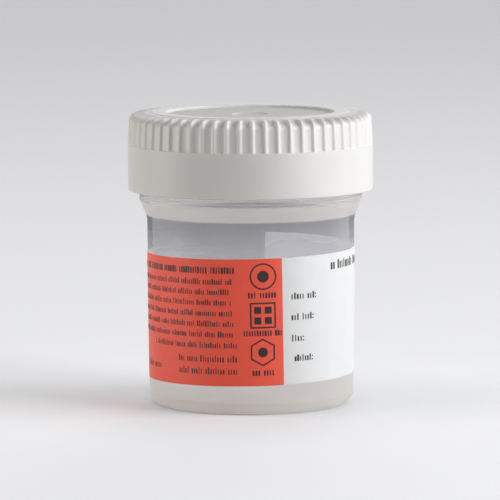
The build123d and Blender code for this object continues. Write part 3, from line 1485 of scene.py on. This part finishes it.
    def printed(self) -> bpy.types.Object:
        """Build all the print: rows of ticks and three plain round and square marks.

        Returns:
            The print's object.
        """
        ink = PrintedInk().material()
        tree = self.rows_tree()
        draft = Draft()
        middle = self.glue + self.thickness + self.ink / 2
        for number, weight in enumerate(Weight):
            width, pitch, low, full = weight.value
            rows = PRINTED_ROWS[weight]
            ends = [(a, middle, base) for *both, base in rows for a in both]
            lines = [(k, k + 1) for k in range(0, len(ends), 2)]
            mesh = bpy.data.meshes.new("row_lines")
            mesh.from_pydata((np.array(ends) * MM).tolist(), lines, [])
            flat = run_tree(place(mesh, "row_lines"), tree, {
                "Tick pitch": pitch * MM,
                "Tick size": (width * MM, self.ink * MM, full * MM),
                "Short share": low / full,
                "Word length": self.word_length,
                "Gap spread": self.gap_spread,
                "Seed": self.seed + number,
                "Finish": ink,
            })
            self.take(draft, flat)
        for mark in plain_marks():
            self.stamp(draft, *mark.outlines())
        printed = draft.build("label_print")
        printed.data.materials.append(ink)
        return printed

    def take(self, draft: Draft, flat: bpy.types.Mesh) -> None:
        """Wrap a flat mesh round the jar, which turns its faces over, and add it.

        Args:
            draft: where it goes.
            flat: the flat mesh, which is used up.
        """
        points = np.zeros(len(flat.vertices) * 3)
        flat.vertices.foreach_get("co", points)
        faces = [tuple(reversed(p.vertices)) for p in flat.polygons]
        draft.add(self.wrapped(points.reshape(-1, 3) / MM), faces)
        bpy.data.meshes.remove(flat)

    def stamp(self, draft: Draft, outer: np.ndarray, inner: np.ndarray) -> None:
        """Add a flat band of ink between two outlines of equal count.

        Args:
            draft: where it goes.
            outer: (a, h) points, anticlockwise.
            inner: (a, h) points of the inner outline, or of the middle.
        """
        count = len(outer)
        low, high = self.glue + self.thickness, self.glue + self.thickness + self.ink
        rings = [(outer, low), (outer, high), (inner, high), (inner, low)]
        flat = np.vstack([
            np.column_stack([ring[:, 0], np.full(count, lift), ring[:, 1]])
            for ring, lift in rings
        ])
        faces = []
        for r in range(len(rings)):
            for j in range(count):
                k, s = (j + 1) % count, (r + 1) % len(rings)
                faces.append((r * count + j, r * count + k, s * count + k, s * count + j))
        draft.add(self.wrapped(flat), faces)

    def build(self) -> None:
        """Build the label's sheet and its print."""
        fit(self.sheet(), Body.CONTAINER, Slot.LABEL, "label")
        fit(self.printed(), Body.CONTAINER, Slot.LABEL)


# Start, end and base line of each printed row, in label millimetres.
PRINTED_ROWS = {
    Weight.HEADING: [(-38.6, -3.4, 24.1)],
    Weight.BODY: [
        (-38.9, -4.0, 21.75), (-38.9, -4.1, 19.55), (-38.9, -4.2, 17.3), (-38.9, -4.0, 15.0),
        (-38.9, -3.2, 12.75), (-38.9, -3.9, 10.5), (-25.5, -3.1, 8.15),
    ],
    Weight.LARGE: [(-16.8, -3.2, 5.15), (-16.8, -3.1, 2.55), (-30.5, -23.5, 3.0)],
    Weight.BOLD: [(-0.15, 6.0, 18.8), (-1.3, 6.6, 10.7), (0.5, 4.7, 2.2)],
    Weight.FIELD: [(9.2, 14.4, 18.2), (9.2, 13.7, 13.75), (9.2, 11.2, 9.2), (9.2, 13.4, 4.9)],
    Weight.TITLE: [(19.9, 44.0, 23.7)],
}


def regular(sides: int, radius: float, at: tuple[float, float], fine: int = 48) -> np.ndarray:
    """Points on a regular outline, or on a circle where sides is 0.

    Args:
        sides: number of sides, or 0 for a circle.
        radius: out to its corners.
        at: its middle.
        fine: how many points.

    Returns:
        An array of (a, h) points, anticlockwise.
    """
    angles = np.arange(fine) * 2 * math.pi / fine
    reach = np.full(fine, radius)
    if sides:
        part = math.pi / sides
        reach = radius * math.cos(part) / np.cos((angles + part) % (2 * part) - part)
    return np.stack([at[0] + reach * np.cos(angles), at[1] + reach * np.sin(angles)], axis=1)


@dataclass(frozen=True)
class Mark:
    """A plain regular shape, either solid or a frame as wide as a line."""

    sides: int  # 0 for a circle
    radius: float
    at: tuple[float, float]
    solid: bool = True
    line: float = 0.34
    shut: float = 1e-3  # radius to which the inner outline of a solid shape shrinks

    def outlines(self) -> tuple[np.ndarray, np.ndarray]:
        """Draw the mark.

        Returns:
            Its outer and its inner outline, of equal count.
        """
        across = math.cos(math.pi / self.sides) if self.sides else 1.0
        inner = self.shut if self.solid else self.radius - self.line / across
        return regular(self.sides, self.radius, self.at), regular(self.sides, inner, self.at)


RING_AT, SQUARE_AT, HEXAGON_AT = (2.9, 23.4), (2.74, 15.1), (2.58, 7.2)
SMALL_SQUARE_STEP = 1.12  # from the middle of the large square
COLON_DOT = 0.17
COLON_GAP = 0.55
COLON_HEIGHTS = (0.17, 0.88)


def plain_marks() -> list[Mark]:
    """Plain marks: a dot in a ring, squares in a square, a dot in a hexagon, and colons.

    Returns:
        The marks in the order in which they are printed.
    """
    marks = [Mark(0, 2.85, RING_AT, solid=False), Mark(0, 1.25, RING_AT)]
    marks.append(Mark(4, 3.9, SQUARE_AT, solid=False))
    for side in (-SMALL_SQUARE_STEP, SMALL_SQUARE_STEP):
        for level in (-SMALL_SQUARE_STEP, SMALL_SQUARE_STEP):
            marks.append(Mark(4, 1.05, (SQUARE_AT[0] + side, SQUARE_AT[1] + level)))
    marks += [Mark(6, 3.0, HEXAGON_AT, solid=False), Mark(0, 1.05, HEXAGON_AT)]
    for _, last, base in PRINTED_ROWS[Weight.FIELD]:
        marks += [Mark(0, COLON_DOT, (last + COLON_GAP, base + up)) for up in COLON_HEIGHTS]
    return marks


# One finish for each Coat.
LABEL_FINISHES = (
    CoatedPaper(
        "fluorescent_red_flood_on_coated_paper", "ff6650", "f45a44",
        glow="ff4a30", glow_strength=0.09, let_through=0.04,
    ),
    CoatedPaper("white_coated_paper", "f3f3f2", "eeeeed", let_through=0.05),
    CoatedPaper("uncoated_paper_back", "fdfcfa", "f8f6f2", let_through=0.45),
)


# ---------------------------------------------------------------- stage


@dataclass(frozen=True)
class Softbox:
    """A rectangular soft lamp that faces the middle of the container."""

    name: str
    azimuth: float  # degrees from the front, positive to the right
    elevation: float  # degrees
    distance: float  # metres
    size: tuple[float, float]  # metres
    power: float  # watts
    colour: str = "ffffff"
    aim: float = 0.04  # metres

    def place(self) -> None:
        """Add the lamp."""
        lamp = bpy.data.lights.new(self.name, "AREA")
        lamp.shape = "RECTANGLE"
        lamp.size, lamp.size_y = self.size
        lamp.energy = self.power
        lamp.color = linear(self.colour)[:3]
        obj = bpy.data.objects.new(self.name, lamp)
        turn, lift = math.radians(self.azimuth), math.radians(self.elevation)
        flat = self.distance * math.cos(lift)
        obj.location = (
            flat * math.sin(turn),
            -flat * math.cos(turn),
            self.aim + self.distance * math.sin(lift),
        )
        obj.rotation_euler = (math.pi / 2 - lift, 0, turn)
        obj.visible_camera = False
        bpy.context.scene.collection.objects.link(obj)


@dataclass(frozen=True)
class Studio:
    """Floor, surroundings, lamps and camera. Sizes are in metres."""

    floor_size: float = 8.0
    ambient: float = 0.03
    backdrop: str = "e9e9ea"
    camera_distance: float = 0.88270
    camera_height: float = 0.13048
    camera_pitch: float = 6.297  # degrees down
    camera_roll: float = -0.284  # degrees
    lens: float = 294.74  # mm
    sensor: float = 36.0  # mm
    shift: float = -0.0018
    far: float = 30.0  # where the view ends
    lamps: tuple[Softbox, ...] = (
        Softbox("key_right", 74, 25, 1.1, (0.9, 0.8), 10.9, "fafcff"),
        Softbox("front_right", 60, 15, 1.1, (0.4, 0.6), 2.0),
        Softbox("fill_left", -85, 15, 1.1, (0.7, 0.8), 5.75, "fffdf9"),
    )
    back_glow: float = 2.2  # watts per square metre
    back_azimuth: float = 172.0  # degrees
    back_elevation: float = 7.0  # degrees
    back_spread: float = 40.0  # degrees
    inner_glows: tuple[tuple[float, float], ...] = ((0.034, 0.0062), (0.008, 0.0015))
    inner_size: float = 0.005

    def floor(self) -> None:
        """Add the plain pale floor."""
        half = self.floor_size / 2
        mesh = bpy.data.meshes.new("floor")
        corners = [(-half, -half, 0), (half, -half, 0), (half, half, 0), (-half, half, 0)]
        mesh.from_pydata(corners, [], [(0, 1, 2, 3)])
        floor = place(mesh, "floor")
        assign(floor, PaleBoard())

    def surroundings(self) -> None:
        """Light the scene evenly, with a pale backdrop for what the eye sees."""
        world = bpy.data.worlds.new("surroundings")
        world.use_nodes = True
        tree = world.node_tree
        tree.nodes.clear()
        dim = add_node(tree, "ShaderNodeBackground", inputs={
            "Color": (1, 1, 1, 1), "Strength": self.ambient,
        })
        pale = add_node(tree, "ShaderNodeBackground", inputs={
            "Color": linear(self.backdrop), "Strength": 1.0,
        })
        both = add_node(tree, "ShaderNodeMixShader", inputs={
            "Fac": seen_directly(tree), 1: dim.outputs[0], 2: pale.outputs[0],
        })
        add_node(tree, "ShaderNodeOutputWorld", inputs={"Surface": both.outputs[0]})
        bpy.context.scene.world = world

    def back_light(self) -> None:
        """Light the back of the container, low and far off, for its plastic to pass on."""
        lamp = bpy.data.lights.new("back_glow", "SUN")
        lamp.energy = self.back_glow
        lamp.angle = math.radians(self.back_spread)
        obj = bpy.data.objects.new("back_glow", lamp)
        obj.rotation_euler = (
            math.radians(90 - self.back_elevation), 0, math.radians(self.back_azimuth),
        )
        obj.visible_camera = False
        obj.visible_glossy = False
        bpy.context.scene.collection.objects.link(obj)

    def inner_light(self) -> None:
        """Light the inside of the jar, as its milky walls pass light on to each other."""
        for height, power in self.inner_glows:
            lamp = bpy.data.lights.new("inner_glow", "POINT")
            lamp.energy = power
            lamp.shadow_soft_size = self.inner_size
            obj = bpy.data.objects.new("inner_glow", lamp)
            obj.location = (0, 0, height)
            obj.visible_camera = False
            obj.visible_glossy = False
            bpy.context.scene.collection.objects.link(obj)

    def camera(self) -> None:
        """Add the camera and make it the scene's."""
        data = bpy.data.cameras.new("camera")
        data.lens = self.lens
        data.sensor_width = self.sensor
        data.shift_x = self.shift
        data.clip_end = self.far
        camera = bpy.data.objects.new("camera", data)
        camera.location = (0, -self.camera_distance, self.camera_height)
        camera.rotation_mode = "XYZ"
        camera.rotation_euler = (math.radians(90 - self.camera_pitch), 0, 0)
        camera.rotation_euler.rotate_axis("Z", math.radians(self.camera_roll))
        bpy.context.scene.collection.objects.link(camera)
        bpy.context.scene.camera = camera

    def build(self) -> None:
        """Set up the whole stage."""
        self.floor()
        self.surroundings()
        for lamp in self.lamps:
            lamp.place()
        self.back_light()
        self.inner_light()
        self.camera()
        bpy.context.scene.view_settings.view_transform = TRUE_COLOUR_VIEW


def main() -> None:
    """Build the stage and every piece."""
    logging.basicConfig(level=logging.INFO, format="%(name)s: %(message)s")
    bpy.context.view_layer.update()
    Studio().build()
    JarMoulding().build()
    CapMoulding().build()
    SealingWad().build()
    Label().build()


if __name__ == "__main__":
    main()
